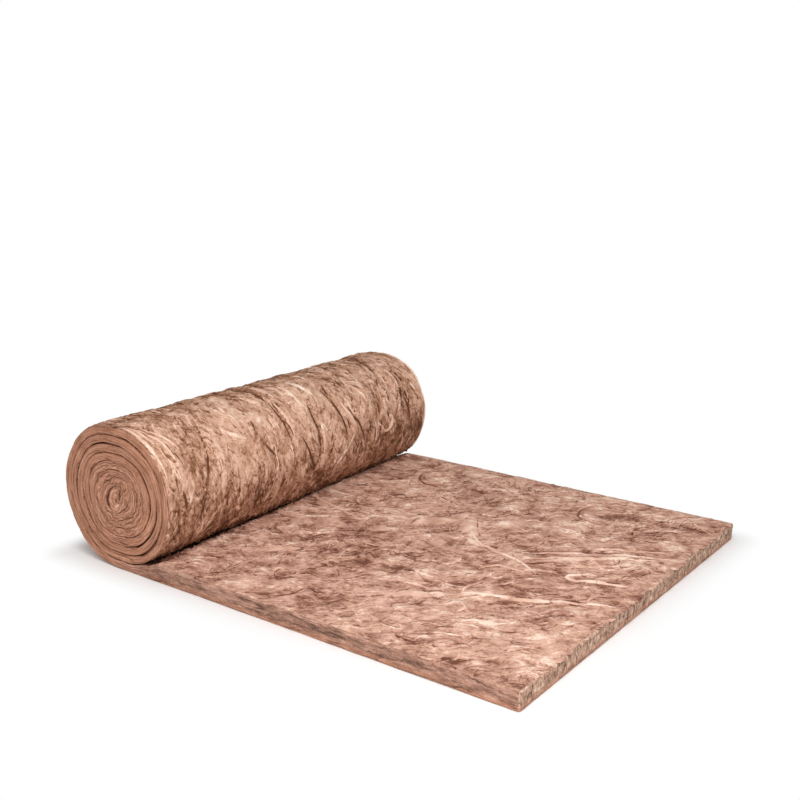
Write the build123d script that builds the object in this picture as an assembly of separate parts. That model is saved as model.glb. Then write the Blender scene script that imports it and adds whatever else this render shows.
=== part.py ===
from build123d import *
import math
import os

# A roll of glass mineral wool, partly unrolled on the floor.
# It is one continuous mat: it lies flat from its free end, runs in under the roll and winds up into it.
# X runs from the roll to the free end, Y along the roll's axis and Z up.
# The origin is on the floor, under the middle of the whole.

# Driving dimensions, in millimetres and degrees
mat_width = 1200  # across the mat, which is also the length of the roll
mat_thickness = 50  # of the mat where it lies free
laid_length = 1250  # from under the roll's axis to the free end
roll_height = 402  # top of the roll above the floor
roll_sag = 30  # how much wider than high the roll has settled
turn_thickness = 24.5  # of one turn, squeezed by the winding
pressed_core = 55  # height of the middle, where the turns are too tight to part
parting_width = 3  # gap between two turns at the ends of the roll
parting_depth = 30  # how far that gap reaches in from each end
parting_lip = 4  # how far the edges of two turns fall back from each other at the gap's mouth
nip_round = 60  # radius over which the laid mat rolls down into the nip under the roll
edge_round = 7  # rounding of the cut edges of the wool
eye_height = 36  # of the bore at the middle, which the winding has squeezed flat
eye_width = 10
eye_lean = 18  # how far the flattened bore leans towards the free end

# Places that follow from the sizes
left_reach = (roll_height + roll_sag) / 2
overall_length = left_reach + laid_length
free_end_x = overall_length / 2
roll_x = left_reach - overall_length / 2

# The spiral is made of half circles, joined by level runs as long as the sag. The left halves share one
# centre. The right halves share another, half a turn's thickness higher, so each ends one turn further in.
left_centre = Vector(roll_x - roll_sag / 2, roll_height / 2)
right_centre = Vector(roll_x + roll_sag / 2, (roll_height + turn_thickness) / 2)
left_radius = roll_height / 2
right_radius = roll_height - right_centre.Y
half_gap = parting_width / 2
parted_turns = int((roll_height - pressed_core) / 2 / turn_thickness)


def left_half(turn, outside=0):
    """Up the left side of a turn, at its outer surface or just outside. Turn 0 is the roll's own wall."""
    return CenterArc(left_centre, left_radius - turn * turn_thickness + outside, -90, -180)


def top_run(turn, outside=0):
    height = roll_height - turn * turn_thickness + outside
    return Line((left_centre.X, height), (right_centre.X, height))


def right_half(turn, outside=0, start=90, stop=-90):
    """Down the right side of a turn, between two angles above the level."""
    return CenterArc(right_centre, right_radius - turn * turn_thickness + outside, start, stop - start)


def bottom_run(turn, outside=0):
    height = turn * turn_thickness - outside
    return Line((right_centre.X, height), (left_centre.X, height))


def nip_angle():
    """Where the laid mat leaves the wall of the roll, as an angle about the centre of the right halves.

    The mat follows the wall one gap away, and then rolls over to the level of its own top.
    """
    reach = right_radius + parting_width + nip_round
    drop = right_centre.Y - mat_thickness + nip_round
    return -math.degrees(math.asin(drop / reach))


def section():
    """The outline seen along the roll's axis: the wound disc and the mat laid out from under it."""
    leaving = nip_angle()
    wall = right_half(0, stop=leaving)
    mat_side = right_half(0, parting_width, stop=leaving) @ 1
    crest_x = right_centre.X + (mat_side.X - right_centre.X) * (1 + nip_round / (right_radius + parting_width))
    crest = Vector(crest_x, mat_thickness)
    outline = [
        Line((free_end_x, 0), (left_centre.X, 0)),
        left_half(0),
        top_run(0),
        wall,
        TangentArc(wall @ 1, mat_side, tangent=wall % 1),
        TangentArc(crest, mat_side, tangent=(-1, 0)),
        Line(crest, (free_end_x, mat_thickness)),
        Line((free_end_x, mat_thickness), (free_end_x, 0)),
    ]
    return make_face(Wire(outline))


def parting():
    """What is missing between the turns at the near end: a deep narrow gap with lips that fall back."""
    lines = [right_half(0, half_gap, start=nip_angle())]
    for turn in range(1, parted_turns + 1):
        stop = 0 if turn == parted_turns else -90
        lines.append(bottom_run(turn, half_gap))
        lines.append(left_half(turn, half_gap))
        lines.append(top_run(turn, half_gap))
        lines.append(right_half(turn, half_gap, stop=stop))
    path = Wire(lines)
    across_gap = Plane(origin=path @ 0, x_dir=Vector(0, 0, 1).cross(path % 0), z_dir=path % 0)
    half_section = [
        (half_gap + 2 * parting_lip, parting_lip),
        (half_gap, -parting_lip),
        (half_gap, -parting_depth),
    ]
    other_half = [(-across, outwards) for across, outwards in reversed(half_section)]
    profile = make_face(Polyline(*half_section, *other_half, close=True))
    return Plane.XZ.offset(mat_width / 2) * sweep(across_gap * profile, path)


def eye():
    """The bore, squeezed to a narrow slot."""
    return Pos(roll_x, roll_height / 2) * Rot(0, 0, 90 - eye_lean) * SlotOverall(eye_height, eye_width)


def wool_mat():
    """The whole mat: its section drawn out across the width, soft cut edges, and the winding at both ends."""
    mat = extrude(Plane.XZ * (section() - eye()), mat_width / 2, both=True)
    cut_edges = [
        edge
        for edge in mat.edges()
        if math.isclose(abs(edge.center().Y), mat_width / 2) or math.isclose(edge.center().X, free_end_x)
    ]
    mat = fillet(cut_edges, edge_round)
    near_parting = parting()
    return mat - near_parting - mirror(near_parting, about=Plane.XZ)


os.makedirs("parts", exist_ok=True)
export_step(wool_mat(), "parts/wool_mat.step")
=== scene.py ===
import math

import bmesh
import bpy
import numpy as np
from mathutils import Matrix, Vector, noise


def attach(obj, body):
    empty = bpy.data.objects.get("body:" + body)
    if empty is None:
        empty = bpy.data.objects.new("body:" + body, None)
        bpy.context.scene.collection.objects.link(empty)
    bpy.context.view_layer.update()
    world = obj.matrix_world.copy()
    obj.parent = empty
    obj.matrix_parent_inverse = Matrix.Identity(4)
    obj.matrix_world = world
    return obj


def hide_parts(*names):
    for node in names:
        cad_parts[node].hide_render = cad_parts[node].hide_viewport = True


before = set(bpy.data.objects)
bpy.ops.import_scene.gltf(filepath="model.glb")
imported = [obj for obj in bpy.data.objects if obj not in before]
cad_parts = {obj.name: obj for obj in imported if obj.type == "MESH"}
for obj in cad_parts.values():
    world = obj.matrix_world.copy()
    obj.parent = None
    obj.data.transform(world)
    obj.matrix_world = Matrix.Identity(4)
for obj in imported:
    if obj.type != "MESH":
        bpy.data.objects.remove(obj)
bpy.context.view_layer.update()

# ---- The flat mat ----
# Glass wool is felted into one thick mat from fine brown fibres, and its long edges and its end are sawn.
# It is made flat: X runs along it from its free end, Y across it and Z up from its underside.
mat_length = 7.19
mat_width = 1.2
mat_thickness = 0.05
sawn_edge_round = 0.007
laid_to = 1.24  # the top shows from the free end up to the nip under the roll
wall_from, wall_to = 1.2, 2.6  # the underside shows as the wall of the roll
edge_levels = (0.009, 0.017, 0.025, 0.033, 0.041)  # rows of points up the cut edges, where the layers show
rim_rows = (0.012, 0.03, 0.07)  # rows of points in from each long edge
end_row = 0.012  # a row of points in from the free end

bpy.ops.object.select_all(action="DESELECT")
bpy.ops.mesh.primitive_cube_add(size=1, location=(mat_length / 2, 0, mat_thickness / 2))
wool_mat = bpy.context.object
wool_mat.name = "wool_mat_felted"
wool_mat.data.name = "wool_mat_felted"
wool_mat.scale = (mat_length, mat_width, mat_thickness)
bpy.ops.object.transform_apply(location=True, rotation=False, scale=True)
bpy.ops.object.mode_set(mode="EDIT")
bpy.ops.mesh.select_mode(type="EDGE")


def choose(chosen):
    """Selects the edges of the mat for which chosen is true, and nothing else."""
    shape = bmesh.from_edit_mesh(wool_mat.data)
    bpy.ops.mesh.select_all(action="DESELECT")
    for edge in shape.edges:
        edge.select_set(chosen(edge))
    bmesh.update_edit_mesh(wool_mat.data)


def cut_through(place, normal):
    """Cuts the whole mesh along a plane, which leaves a row of points there."""
    bpy.ops.mesh.select_all(action="SELECT")
    bpy.ops.mesh.bisect(plane_co=place, plane_no=normal)


def runs(edge, axis):
    """Whether an edge runs along an axis, 0, 1 or 2 for X, Y or Z."""
    line = edge.verts[1].co - edge.verts[0].co
    return abs(line[axis]) > 0.99 * line.length


def middle(edge):
    return (edge.verts[0].co + edge.verts[1].co) / 2


def inset(edge):
    """How far the middle of an edge is in from the nearer long edge of the mat."""
    return mat_width / 2 - abs(middle(edge).y)


choose(lambda edge: runs(edge, 0) or middle(edge).x < 0.01)
bpy.ops.mesh.bevel(offset=sawn_edge_round, segments=3, profile=0.5, affect="EDGES")
for level in edge_levels:
    cut_through((0, 0, level), (0, 0, 1))
for row in rim_rows:
    for side in (-1, 1):
        cut_through((0, side * (mat_width / 2 - row), 0), (0, 1, 0))
for station in (end_row, laid_to, wall_to):
    cut_through((station, 0, 0), (1, 0, 0))
for start, end, cuts in (
    (end_row, laid_to, (84, 1)),
    (laid_to, wall_to, (94, 1)),
    (wall_to, mat_length, (88, 5)),
):
    for number in cuts:
        choose(lambda edge: runs(edge, 0) and start < middle(edge).x < end)
        bpy.ops.mesh.subdivide(number_cuts=number)


def shows(edge):
    """Whether an edge runs across the mat on a face of it that shows: the top, the wall or the free end."""
    place = middle(edge)
    near_face, hair = 0.004, 0.001
    top = place.z > mat_thickness - near_face and place.x < laid_to + hair
    wall = place.z < near_face and wall_from < place.x < wall_to + hair
    return (top or wall or place.x < 0.006) and runs(edge, 1)


# Points 7 mm apart across the mat, and closer towards its rims
for number in (77, 1):
    choose(lambda edge: shows(edge) and inset(edge) > rim_rows[2] and edge.calc_length() > 0.01)
    bpy.ops.mesh.subdivide(number_cuts=number)
for low, high, number in ((rim_rows[1], rim_rows[2], 5), (rim_rows[0], rim_rows[1], 2)):
    choose(lambda edge: shows(edge) and low < inset(edge) < high)
    bpy.ops.mesh.subdivide(number_cuts=number)
bpy.ops.object.mode_set(mode="OBJECT")


def points_of(mesh):
    """Where the points of a mesh are, a row for each."""
    points = np.empty(len(mesh.vertices) * 3)
    mesh.vertices.foreach_get("co", points)
    return points.reshape(-1, 3)


flat = points_of(wool_mat.data)

# ---- The felted surface ----
# The wool is uneven: clumps stand up, hollows and creases lie between them, and they are painted paler and darker as
# highlight and shade.
# The long edges show the mat's layers, and each turn of the roll ends a little further in or out than the next.
roll_height = 0.402
roll_sag = 0.03  # how much wider than high the roll has settled
turn_thickness = 0.0245
free_end_x = 0.733
roll_x = -0.517
# Half circles about two centres make the spiral, and level runs as long as the sag join them.
left_x, left_z = roll_x - roll_sag / 2, roll_height / 2
right_x, right_z = roll_x + roll_sag / 2, (roll_height + turn_thickness) / 2
eye_lean = math.radians(18)
# The nip: where the laid mat starts to roll down into it, the radius of that, where the mat meets the wall of the
# roll, and the radius of the wall with a small gap
crest_x, round_over, nip_x, wall_reach = -0.3856, 0.06, -0.4134, 0.1915
# The far end of the roll is a little narrower and lower than the near one, by these shares, and lies further back.
far_narrower, far_lower, far_back = 0.07, 0.03, 0.036
# Broad paler and darker areas: distance from the free end, place across and reach in millimetres, and tone
areas = {
    "top": (
        (140, -420, 160, 0.6), (330, -330, 100, 0.5), (420, -500, 120, 0.5), (80, 180, 100, 0.5),
        (550, 190, 70, 0.6), (640, 60, 80, 0.35), (740, -220, 120, -0.8), (800, -50, 70, -0.4),
        (700, -380, 90, -0.4), (240, -140, 90, -0.8), (420, 130, 60, -0.6), (330, 400, 50, -0.6),
        (910, 380, 60, -0.6), (600, 320, 60, -0.4), (760, 280, 60, -0.4), (970, 120, 70, -0.6),
        (390, -370, 30, -0.7), (1050, -440, 50, -0.4), (940, -340, 60, 0.5), (1100, 180, 50, 0.4),
    ),
    "wall": (
        (2030, 40, 90, 0.8), (2080, -300, 100, 0.5), (2000, -160, 60, 0.5), (2100, 180, 60, 0.4),
        (2200, 350, 50, 0.4), (2300, -400, 120, -0.7), (2320, 50, 120, -0.6), (2300, 450, 120, -0.6),
        (2200, -530, 50, -0.8), (1950, 500, 70, -0.5), (2200, 240, 40, -0.6), (2250, -30, 50, -0.6),
        (2000, -380, 50, -0.4), (1940, -350, 50, -0.4),
    ),
}
# Grooves that the winding has pressed into the wall, painted darker inside as shade: points in millimetres from the
# free end and across the mat
groove_reach, groove_depth = 0.0075, 0.0040
grooves = (
    ((1860, -105), (1960, -100), (2060, -100), (2170, -92)),
    ((1870, -48), (1950, -45), (2000, -36)),
    ((2060, 36), (2100, 30), (2160, 31), (2250, 24)),
    ((2100, 190), (2150, 210), (2190, 232), (2240, 258)),
    ((2020, 128), (2100, 142), (2210, 168)),
    ((2050, -405), (2140, -430), (2200, -452), (2290, -472)),
    ((2150, -48), (2220, -20), (2300, 22)),
    ((2130, -205), (2160, -188), (2190, -165)),
    ((1900, -585), (1940, -573), (1970, -555)),
    ((2150, -545), (2210, -535), (2280, -525)),
    ((1950, 430), (1990, 428), (2040, 424)),
    ((2140, 500), (2190, 508), (2230, 512)),
    ((1500, -300), (1580, -290), (1700, -270)),
    ((1600, 150), (1680, 160), (1800, 185)),
)
# Where the turns part widest at the ends of the roll: distance from the free end, reach and width of the gap, in
# millimetres
parted = ((2850, 90, 3.5), (3100, 60, 2.5), (2370, 100, 1.8), (3520, 120, 2.6), (3300, 100, 1.8), (6750, 30, 5))

# The noise that bends the turns starts from a seed, so that every run winds the same roll.
noise.seed_set(3)


def ripple(places, size, seed=0.0, octaves=2):
    """Smooth noise at each place, about -1 to 1, whose hills are about the given size apart."""
    scale = np.asarray(size)
    return np.array([noise.fractal(Vector(p), 0.8, 2.2, octaves) for p in places / scale + seed])


def ease(value, low, high):
    """0 below low and 1 above high, with a smooth step between."""
    t = np.clip((value - low) / (high - low), 0, 1)
    return t * t * (3 - 2 * t)


def apart(along, across, line):
    """How far each place is from a line through points that are given in millimetres."""
    line = np.array(line) / 1000
    nearest = np.full(len(along), 9.0)
    for (s1, y1), (s2, y2) in zip(line[:-1], line[1:]):
        ds, dy = s2 - s1, y2 - y1
        share = np.clip(((along - s1) * ds + (across - y1) * dy) / (ds * ds + dy * dy), 0, 1)
        nearest = np.minimum(nearest, np.hypot(along - s1 - share * ds, across - y1 - share * dy))
    return nearest


def felt(along, across, face):
    """How far the wool stands up or falls back, in metres, and its tone, from -1 or so, dark, to 1, pale."""
    on_top = face == "top"
    drawn_out, hilly, marked = (1.0, 1.4, 0.85) if on_top else (0.5, 0.7, 0.42)
    places = np.stack([along * drawn_out, across, np.full_like(along, 0.0 if on_top else 5.0)], 1)
    bent = places + 0.03 * np.stack([ripple(places, 0.09, 3), ripple(places, 0.09, 9), 0 * along], 1)
    broad = ripple(places, 0.2, 5)
    hills = ripple(bent, 0.055, 17)
    small = ripple(bent, 0.026, 23, 1)
    creases = np.clip(1 - 4 * np.abs(ripple(bent, 0.08, 31, 1)), 0, 1) ** 2
    creases *= ease(ripple(places, 0.12, 47, 1), -0.1, 0.2)
    if on_top:
        broad = broad + 1.6 * ripple(bent, 0.11, 91, 1)
    # Painted highlight and shade follow the relief: paler on hills and small clumps, darker in the creases.
    tone = 0.5 * broad + hilly * hills + 0.8 * small - 0.5 * creases
    for *place, strength in areas[face]:
        s, y, reach = np.array(place) / 1000
        tone += marked * strength * np.exp(-((along - s) ** 2 + (across - y) ** 2) / reach**2)
    relief = 0.0008 * broad + 0.0034 * hills + 0.0012 * small - 0.0028 * creases
    near = ease(-across, -0.15, 0.35)
    if on_top:
        # Paler towards the far edge, and painted shade: dark in the near half of the nip
        tone += 0.4 * across
        tone -= 1.6 * ease(along, 1.09, 1.135) * near
    else:
        # Painted shade: darker over the top of the roll, and downwards to the nip
        tone = 0.7 * tone - 0.8 * ease(-along, -2.02, -1.90)
        tone -= 0.9 * ease(along, 2.14, 2.32) + ease(along, 2.34, 2.41) * near
        # The grooves are pressed into the relief and painted darker as shade in them.
        for groove in grooves:
            pressed = np.exp(-((apart(along, across, groove) / groove_reach) ** 2))
            relief -= groove_depth * pressed
            tone -= 0.8 * pressed
    # The sawn edges and the free end hold the felt flatter.
    calm = 1 - 0.65 * ease(np.abs(across), mat_width / 2 - 0.035, mat_width / 2 - 0.005)
    if on_top:
        calm *= 0.4 + 0.6 * ease(along, 0.0, 0.025)
    return relief * calm, tone


def thickness(s, across):
    """How thick the mat lies at a distance from its free end: lofted on the floor, and squeezed in the roll."""
    x = free_end_x - s
    past_crest = np.clip(crest_x - x, 0, round_over)
    rolling_over = np.sqrt(np.clip(round_over**2 - past_crest**2, 0, None)) + mat_thickness - round_over
    under_wall = right_z - np.sqrt(np.clip(wall_reach**2 - (x - right_x) ** 2, 0.0, None))
    laid = np.where(x > nip_x, rolling_over, under_wall)
    # The nip gapes, unevenly and more towards the near end.
    uneven = 0.6 + 0.8 * ease(ripple(np.stack([0 * s, across, 0 * s], 1), 0.06, 45, 1), -0.3, 0.4)
    laid -= (0.001 + 0.008 * ease(-across, -0.1, 0.4)) * np.exp(-(((x + 0.405) / 0.018) ** 2)) * uneven
    # The turns part here and there at the ends of the roll.
    places = np.stack([s, 0.15 * across, 0 * s], 1)
    opened = ease(ripple(places, 0.10, 41), -0.05, 0.45) + 0.6 * ease(ripple(places, 0.03, 43, 1), 0.05, 0.4)
    gap = 0.0003 + 0.0016 * opened * (1 - 0.85 * ease(s, 3.9, 4.8))
    for place, reach, width in np.array(parted) / 1000:
        gap = gap + width * np.exp(-(((s - place) / reach) ** 2))
    gap = gap * ease(np.abs(across), mat_width / 2 - 0.06, mat_width / 2)
    tail = 1 - 0.5 * ease(s, mat_length - 0.08, mat_length)
    return np.where(x > right_x, laid, (turn_thickness - gap) * tail)


# The underside's way through the roll: each line's length, start or centre, radius, 0 for a level run, and heading
lines = [(free_end_x - left_x, free_end_x, 0.0, 0.0, math.pi)]
for turn in range(8):
    left_radius = left_z - turn * turn_thickness
    right_radius = max(roll_height - right_z - turn * turn_thickness, 0.01)
    lines += [
        (math.pi * left_radius, left_x, left_z, left_radius, -math.pi / 2),
        (roll_sag, left_x, roll_height - turn * turn_thickness, 0.0, 0.0),
        (math.pi * right_radius, right_x, right_z, right_radius, math.pi / 2),
        (roll_sag, right_x, (turn + 1) * turn_thickness, 0.0, math.pi),
    ]
lines = np.array(lines)
line_starts = np.concatenate([[0], np.cumsum(lines[:-1, 0])])


def wind(s, across, rise):
    """Where a point of the flat mat comes to lie, from its distance along the underside and its rise above it."""
    index = np.clip(np.searchsorted(line_starts, s, side="right") - 1, 0, len(lines) - 1)
    _, x, z, radius, heading = lines[index].T
    along = s - line_starts[index]
    turned = heading - along / np.where(radius > 0, radius, 1)
    level_x = x + along * np.cos(heading) + rise * np.sin(heading)
    level_z = z + along * np.sin(heading) - rise * np.cos(heading)
    wound_x = np.where(radius == 0, level_x, x + (radius - rise) * np.cos(turned))
    wound_z = np.where(radius == 0, level_z, z + (radius - rise) * np.sin(turned))
    return np.stack([wound_x, across, wound_z], 1)


def settle(points):
    """The roll isn't quite true: its turns wander, and near the eye, squeezed to a leaning slit, they crumple.

    It is wound a little tighter towards the far end, and lies a little askew on the mat.
    """
    from_eye = points[:, [0, 2]] - [roll_x, roll_height / 2]
    lean = np.array([[math.cos(eye_lean), -math.sin(eye_lean)], [math.sin(eye_lean), math.cos(eye_lean)]])
    turned = from_eye @ lean.T
    near_eye = np.exp(-((turned**2).sum(1)) / 0.05**2)
    turned = turned * np.stack([1 - 0.6 * near_eye, 1 + 0.6 * near_eye], 1)
    distance = np.hypot(*from_eye.T)
    in_roll = ease(-distance, -0.25, -0.2)
    crumple = 0.0012 + 0.0075 * ease(-distance, -0.13, -0.05)
    crumple *= ease(-distance, -0.2, -0.17)
    wander = np.array([noise.noise_vector(Vector(p)) for p in points * [9, 3, 9]])
    folds = np.array([noise.noise_vector(Vector(p)) for p in points * [34, 5, 34] + 7.7])
    far = np.clip(points[:, 1] / mat_width + 0.5, 0, 1) * in_roll
    out = points.copy()
    out[:, [0, 2]] += turned @ lean - from_eye
    out[:, 0] += in_roll * 0.004 * wander[:, 0] + crumple * folds[:, 0]
    out[:, 2] += in_roll * (0.004 * wander[:, 2] * ease(points[:, 2], 0, 0.08)) + crumple * folds[:, 2]
    out[:, 0] += -far * (far_narrower * (out[:, 0] - roll_x) + far_back)
    out[:, 2] *= 1 - far_lower * far
    out[:, 2] = np.maximum(out[:, 2], 0)
    return out


def top_of_mat(s, across):
    """How high the top stands over the underside, and its tone."""
    relief, tone = felt(s, across, "top")
    return thickness(s, across) + relief * ease(-s, -1.14, -1.08), tone


def wall_of_roll(s, across):
    """How far the underside stands out where it is the wall of the roll, and its tone."""
    relief, tone = felt(s, across, "wall")
    return relief * ease(s, 1.3, 1.4) * ease(-s, -2.48, -2.4), tone


s, across, level = flat.T
stands_out, under_tone = wall_of_roll(s, across)
over, over_tone = top_of_mat(s, across)
rise = -stands_out + (over + stands_out) * (level / mat_thickness)
plain = wind(s, across, rise)
# The saw leaves the long edges uneven: layer by layer, from turn to turn, and most in the crumpled middle.
in_turns = ease(s, 1.3, 1.6)
from_middle = np.hypot(plain[:, 0] - roll_x, plain[:, 2] - roll_height / 2)
crumple = in_turns * ease(-from_middle, -0.14, -0.085)
layers = ripple(flat, (0.09, 0.5, 0.007), 51)
setback = 0.0015 + 0.0018 * layers + (0.0012 + 0.0022 * in_turns) * ripple(flat, (0.30, 0.9, 0.9), 61)
setback += 0.0035 * crumple * ripple(plain, (0.022, 0.5, 0.022), 57, 1)
# Where turns press on each other, the rounding of their edges is partly pushed flat.
rounded = np.clip(np.abs(across) - mat_width / 2 + sawn_edge_round, 0, None)
on_rounding = np.abs(across) > mat_width / 2 - 1.01 * sawn_edge_round
setback -= np.maximum(0.75 * crumple, 0.3 * in_turns) * (sawn_edge_round - rounded) * on_rounding
at_edge = ease(np.abs(across), mat_width / 2 - 0.014, mat_width / 2 - 0.002)
inwards = np.sign(across) * at_edge * np.maximum(setback, -0.006)
# The free end is torn, more so in its upper half.
torn = (0.0007 + 0.0024 * ease(level, 0.02, 0.046)) * ripple(flat, (0.5, 0.020, 0.014), 71)
wound = settle(wind(s + ease(-s, -0.02, 0.0) * (0.003 + torn), across - inwards, rise))


def mark(mesh, name, values):
    """Gives each point of a mesh a number or a place of its own, for its material to read."""
    values = np.asarray(values, np.float32)
    kind, field = ("FLOAT", "value") if values.ndim == 1 else ("FLOAT_VECTOR", "vector")
    mesh.attributes.new(name, kind, "POINT").data.foreach_set(field, values.ravel())


mark(wool_mat.data, "mat_place", flat)
mark(wool_mat.data, "felt_tone_and_shade", np.where(level > mat_thickness / 2, over_tone, under_tone))
mark(wool_mat.data, "crumple", crumple)
TOP, WALL, SAWN, TORN = range(4)
for face in wool_mat.data.polygons:
    normal = face.normal
    if normal.x < -0.6:
        face.material_index = TORN
    elif abs(normal.y) > 0.6:
        face.material_index = SAWN
    else:
        face.material_index = TOP if normal.z > 0 else WALL
wool_mat.data.vertices.foreach_set("co", wound.ravel())
wool_mat.data.update()
bpy.ops.object.mode_set(mode="EDIT")
bpy.ops.mesh.select_all(action="SELECT")
bpy.ops.mesh.normals_make_consistent(inside=False)
bpy.ops.object.mode_set(mode="OBJECT")
bpy.ops.object.shade_smooth()


def srgb(code):
    """An sRGB hex colour as the linear values that a node takes."""
    parts = [int(code[i:i + 2], 16) / 255 for i in (1, 3, 5)]
    return tuple(c / 12.92 if c <= 0.04045 else ((c + 0.055) / 1.055) ** 2.4 for c in parts) + (1,)


def add(tree, kind, links=(), **settings):
    """Adds a node. links holds its sockets' values, or the sockets or nodes that feed them. settings are its own."""
    node = tree.nodes.new("ShaderNode" + kind)
    for name, value in settings.items():
        setattr(node, name, value)
    for socket, value in dict(links).items():
        if isinstance(value, bpy.types.Node):
            value = value.outputs[0]
        if isinstance(value, bpy.types.NodeSocket):
            tree.links.new(value, node.inputs[socket])
        else:
            node.inputs[socket].default_value = value
    return node


def weigh(tree, start, *shares):
    """start plus each share's weight times its pattern, taken from its middle at 0.5."""
    total = start
    for pattern, weight in shares:
        lifted = add(tree, "Math", {0: pattern, 1: weight, 2: -0.5 * weight}, operation="MULTIPLY_ADD")
        total = add(tree, "Math", {0: total, 1: lifted}, operation="ADD")
    return total


def matte_fibres(name):
    """A new material whose surface is dull and scatters light as loose fibres do, with its tree.

    The fibres are glass, so the IOR stays at 1.5, but a mat of them in all directions shows next to no gloss.
    """
    material = bpy.data.materials.new(name)
    material.use_nodes = True
    shader = material.node_tree.nodes["Principled BSDF"]
    shader.inputs["Roughness"].default_value = 0.95
    shader.inputs["Specular IOR Level"].default_value = 0.2
    return material, material.node_tree


def colour_by(tree, tone, tones, strength=1.0, hue=0.5):
    """Colours the shader by a tone from 0, in the dark hollows, to 1, on the palest tufts."""
    ramp = add(tree, "ValToRGB", {0: tone})
    steps = ramp.color_ramp.elements
    while len(steps) < len(tones):
        steps.new(0.5)
    for number, (step, colour) in enumerate(zip(steps, tones)):
        step.position = number / (len(tones) - 1)
        step.color = srgb(colour)
    tint = add(tree, "HueSaturation", {"Color": ramp, "Saturation": strength, "Hue": hue})
    tree.links.new(tint.outputs[0], tree.nodes["Principled BSDF"].inputs["Base Color"])


def raise_by(tree, relief, height):
    """Bumps the shader by a pattern, as high as the given metres."""
    bump = add(tree, "Bump", {"Height": relief, "Strength": 0.8, "Distance": height})
    tree.links.new(bump.outputs[0], tree.nodes["Principled BSDF"].inputs["Normal"])


def combed(tree, place, clump, length, width, lean=0.0, spread=math.pi):
    """Flat tufts of fibre that lie one way in each clump of wool, and another way in the next.

    Gives the fine streaks along the tufts, each tuft's own tone, and how far a point is inside its tuft.
    """
    wander = add(tree, "TexNoise", {"Vector": place, "Scale": 0.8 / clump, "Detail": 3, "Roughness": 0.6})
    bend = add(tree, "VectorMath", {0: wander.outputs["Color"], 1: (0.5, 0.5, 0.5)}, operation="SUBTRACT")
    bend = add(tree, "VectorMath", {0: bend, "Scale": 1.8 * clump}, operation="SCALE")
    bent = add(tree, "VectorMath", {0: place, 1: bend}, operation="ADD")
    clumps = add(tree, "TexVoronoi", {"Vector": bent, "Scale": 1 / clump}).outputs["Color"]
    way = add(tree, "SeparateColor", {0: clumps}).outputs["Red"]
    angle = add(tree, "MapRange", {"Value": way, "To Min": lean - spread, "To Max": lean + spread})
    turned = add(tree, "VectorRotate", {"Vector": bent, "Angle": angle}, rotation_type="Z_AXIS")
    drawn = add(tree, "VectorMath", {0: turned, 1: (1 / length, 1 / width, 1 / width)}, operation="MULTIPLY")
    own = add(tree, "VectorMath", {0: clumps, "Scale": 9.0}, operation="SCALE")
    drawn = add(tree, "VectorMath", {0: drawn, 1: own}, operation="ADD")
    frayed = add(tree, "TexNoise", {"Vector": drawn, "Scale": 1.6, "Detail": 3, "Roughness": 0.65})
    frayed = add(tree, "VectorMath", {0: frayed.outputs["Color"], "Scale": 1.1}, operation="SCALE")
    frayed = add(tree, "VectorMath", {0: frayed, 1: drawn}, operation="ADD")
    tufts = add(tree, "TexVoronoi", {"Vector": frayed, "Scale": 1.0})
    tuft_tone = add(tree, "SeparateColor", {0: tufts.outputs["Color"]}).outputs["Red"]
    inside = add(tree, "TexVoronoi", {"Vector": frayed, "Scale": 1.0}, feature="DISTANCE_TO_EDGE")
    inside = add(tree, "MapRange", {"Value": inside.outputs["Distance"], "From Max": 0.28})
    thin = add(tree, "VectorMath", {0: drawn, 1: (1.0, 1.7, 1.7)}, operation="MULTIPLY")
    look = {"Vector": thin, "Scale": 1.0, "Detail": 4, "Roughness": 0.62, "Distortion": 0.5}
    return add(tree, "TexNoise", look).outputs["Fac"], tuft_tone, inside


def streaked(tree, place, way, along, across):
    """Soft paler and darker streaks, wavy, and drawn out the way that the rollers combed the fibres."""
    wander = add(tree, "TexNoise", {"Vector": place, "Scale": 1 / 0.143, "Detail": 1}).outputs["Color"]
    wander = add(tree, "VectorMath", {0: wander, "Scale": 0.18}, operation="SCALE")
    bent = add(tree, "VectorMath", {0: place, 1: wander}, operation="ADD")
    turned = add(tree, "VectorRotate", {"Vector": bent, "Angle": -way}, rotation_type="Z_AXIS")
    drawn = add(tree, "VectorMath", {0: turned, 1: (1 / along, 1 / across, 1 / across)}, operation="MULTIPLY")
    look = {"Vector": drawn, "Scale": 1.0, "Detail": 3, "Roughness": 0.5, "Distortion": 0.6}
    return add(tree, "TexNoise", look).outputs["Fac"]


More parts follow.
